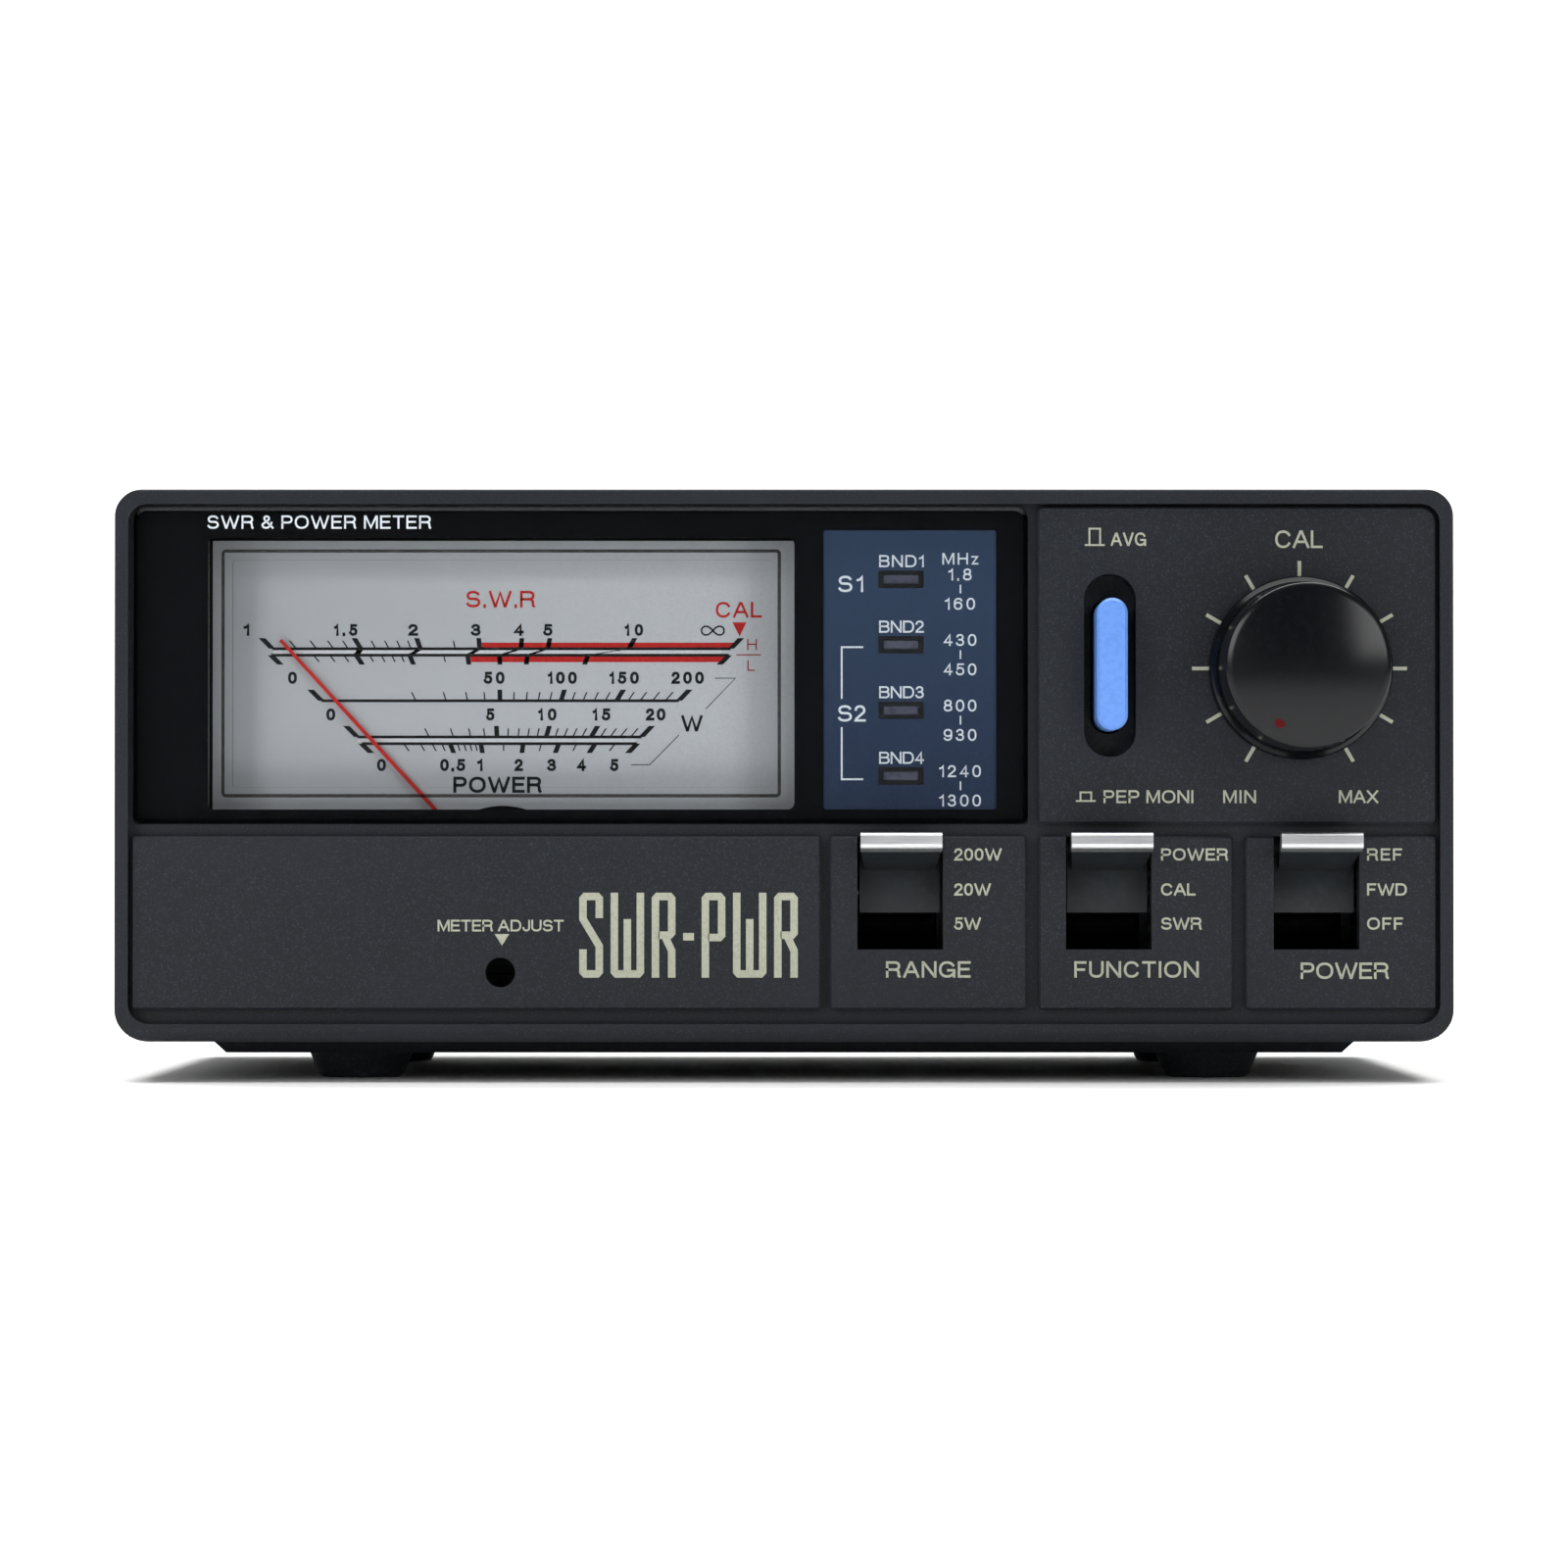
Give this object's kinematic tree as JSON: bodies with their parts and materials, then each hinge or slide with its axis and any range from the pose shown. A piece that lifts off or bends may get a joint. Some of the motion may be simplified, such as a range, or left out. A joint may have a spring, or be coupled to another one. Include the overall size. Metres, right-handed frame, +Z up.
{
  "type": "swr meter",
  "caption": "Low bench meter with a framed front, a wide tinted window over a needle dial, a band indicator column, a knob, a push button, lever switches and rear coaxial sockets.",
  "frame": {"origin": "on the bench, under the middle of the bounding box", "axes": "+Z up; -Y out of the front face; +X to the right seen from the front"},
  "size_m": [0.155, 0.1324, 0.0687],
  "materials": {
    "bezel_paint": "satin charcoal paint on moulded ABS, with a fine fleck",
    "cover_paint": "satin black baked paint on sheet steel, lightly grained",
    "pan_paint": "satin black baked paint on sheet steel",
    "panel_paint": "satin black paint on aluminium sheet",
    "foot_rubber": "matte black rubber",
    "screw_steel": "zinc-plated steel",
    "screw_black": "black oxide steel",
    "lens_acrylic": "clear acrylic, polished",
    "mask_print": "black screen print",
    "band_blue": "blue printed film",
    "holder_black": "black moulded plastic",
    "led_grey": "grey tinted epoxy, unlit",
    "meter_clear": "clear polystyrene",
    "meter_black": "black phenolic plastic",
    "dial_silver": "fine satin silver lacquer",
    "yoke_iron": "nickel-plated soft iron",
    "magnet_dark": "ground magnet steel",
    "brass_plain": "machined brass",
    "coil_wire": "enamelled copper wire on an aluminium frame",
    "pointer_red": "matte red paint on aluminium",
    "spring_bronze": "phosphor bronze strip",
    "zero_black": "black nylon",
    "lamp_glass": "clear lamp glass",
    "knob_black": "smooth black ABS",
    "shaft_alloy": "turned aluminium",
    "pot_steel": "plated steel case",
    "button_blue": "light blue ABS",
    "switch_black": "black nylon",
    "lever_black": "dark grey acetal",
    "tip_chrome": "bright chrome plating",
    "contact_silver": "silvered phosphor bronze",
    "board_green": "solder mask on glass epoxy",
    "board_tan": "phenolic paper board",
    "socket_nickel": "nickel-plated brass",
    "ptfe_white": "white fluoropolymer",
    "contact_gold": "gold-flashed brass",
    "box_cast": "die-cast aluminium alloy",
    "cover_tin": "tinplate",
    "line_copper": "silver-flashed copper bar",
    "ferrite": "ferrite ring with enamelled copper wire",
    "jack_black": "black nylon",
    "lead_grey": "grey PVC insulation"
  },
  "bodies": {
    "case": {"front_bezel": "bezel_paint", "top_cover": "cover_paint", "bottom_cover": "pan_paint", "rear_panel": "panel_paint", "rubber_feet": "foot_rubber", "foot_screws": "screw_steel", "case_screws": "screw_black", "panel_screws": "screw_black", "window_lens": "lens_acrylic", "window_mask": "mask_print", "band_panel": "band_blue", "led_holder": "holder_black", "band_leds": "led_grey", "meter_cover": "meter_clear", "meter_base": "meter_black", "dial_plate": "dial_silver", "yoke_ring": "yoke_iron", "core_magnet": "magnet_dark", "movement_bridge": "brass_plain", "jewel_screws": "brass_plain", "hairsprings": "spring_bronze", "meter_lamps": "lamp_glass", "cal_pot_body": "pot_steel", "panel_nuts": "screw_steel", "avg_switch_body": "switch_black", "lever_switch_frames": "contact_silver", "lever_pivot_pins": "screw_steel", "control_board": "board_green", "internal_screws": "screw_steel", "uhf_sockets": "socket_nickel", "n_sockets": "socket_nickel", "socket_insulators": "ptfe_white", "socket_contacts": "contact_gold", "socket_screws": "screw_steel", "sensor_boxes": "box_cast", "sensor_covers": "cover_tin", "inner_lines": "line_copper", "s1_transformer": "ferrite", "sensor_boards": "board_tan", "dc_jack": "jack_black", "internal_leads": "lead_grey"},
    "zero_adjuster": {"zero_screw": "zero_black"},
    "zero_lever": {"zero_arm": "brass_plain"},
    "movement": {"moving_coil": "coil_wire", "pointer": "pointer_red", "balance_weight": "brass_plain"},
    "calibration": {"cal_knob": "knob_black", "cal_shaft": "shaft_alloy"},
    "average_button": {"avg_button": "button_blue", "avg_plunger": "switch_black"},
    "range_switch_lever": {"range_lever": "lever_black", "range_lever_tip": "tip_chrome", "range_contact": "contact_silver"},
    "function_switch_lever": {"function_lever": "lever_black", "function_lever_tip": "tip_chrome", "function_contact": "contact_silver"},
    "power_switch_lever": {"power_lever": "lever_black", "power_lever_tip": "tip_chrome", "power_contact": "contact_silver"}
  },
  "joints": [
    {"name": "calibration_turn", "type": "hinge", "parent": "case", "child": "calibration", "pos_m": [0.0597, -0.0528, 0.04795], "axis": [0, 1, 0], "range_deg": [0, 300]},
    {"name": "average_press", "type": "slide", "parent": "case", "child": "average_button", "axis": [0, 1, 0], "range_m": [0, 0.0035]},
    {"name": "range_tilt", "type": "hinge", "parent": "case", "child": "range_switch_lever", "pos_m": [0.01345, -0.0261, 0.02195], "axis": [1, 0, 0], "range_deg": [0, 20]},
    {"name": "function_tilt", "type": "hinge", "parent": "case", "child": "function_switch_lever", "pos_m": [0.0376, -0.0261, 0.02195], "axis": [1, 0, 0], "range_deg": [0, 20]},
    {"name": "power_tilt", "type": "hinge", "parent": "case", "child": "power_switch_lever", "pos_m": [0.06165, -0.0261, 0.02195], "axis": [1, 0, 0], "range_deg": [0, 20]},
    {"name": "pointer_swing", "type": "hinge", "parent": "case", "child": "movement", "pos_m": [-0.03285, -0.0433, 0.0229], "axis": [0, 1, 0], "range_deg": [0, 87.5], "stiffness_Nm_per_rad": 0.00002},
    {"name": "zero_adjust_turn", "type": "hinge", "parent": "case", "child": "zero_adjuster", "pos_m": [-0.03285, -0.0463, 0.01275], "axis": [0, 1, 0], "range_deg": [-40, 40]},
    {"name": "zero_lever_turn", "type": "hinge", "parent": "case", "child": "zero_lever", "pos_m": [-0.03285, -0.0445, 0.0229], "axis": [0, 1, 0], "range_deg": [-4, 4]}
  ],
  "couplings": [
    {"joint": "zero_lever_turn", "follows": "zero_adjust_turn", "ratio": -0.0973}
  ]
}
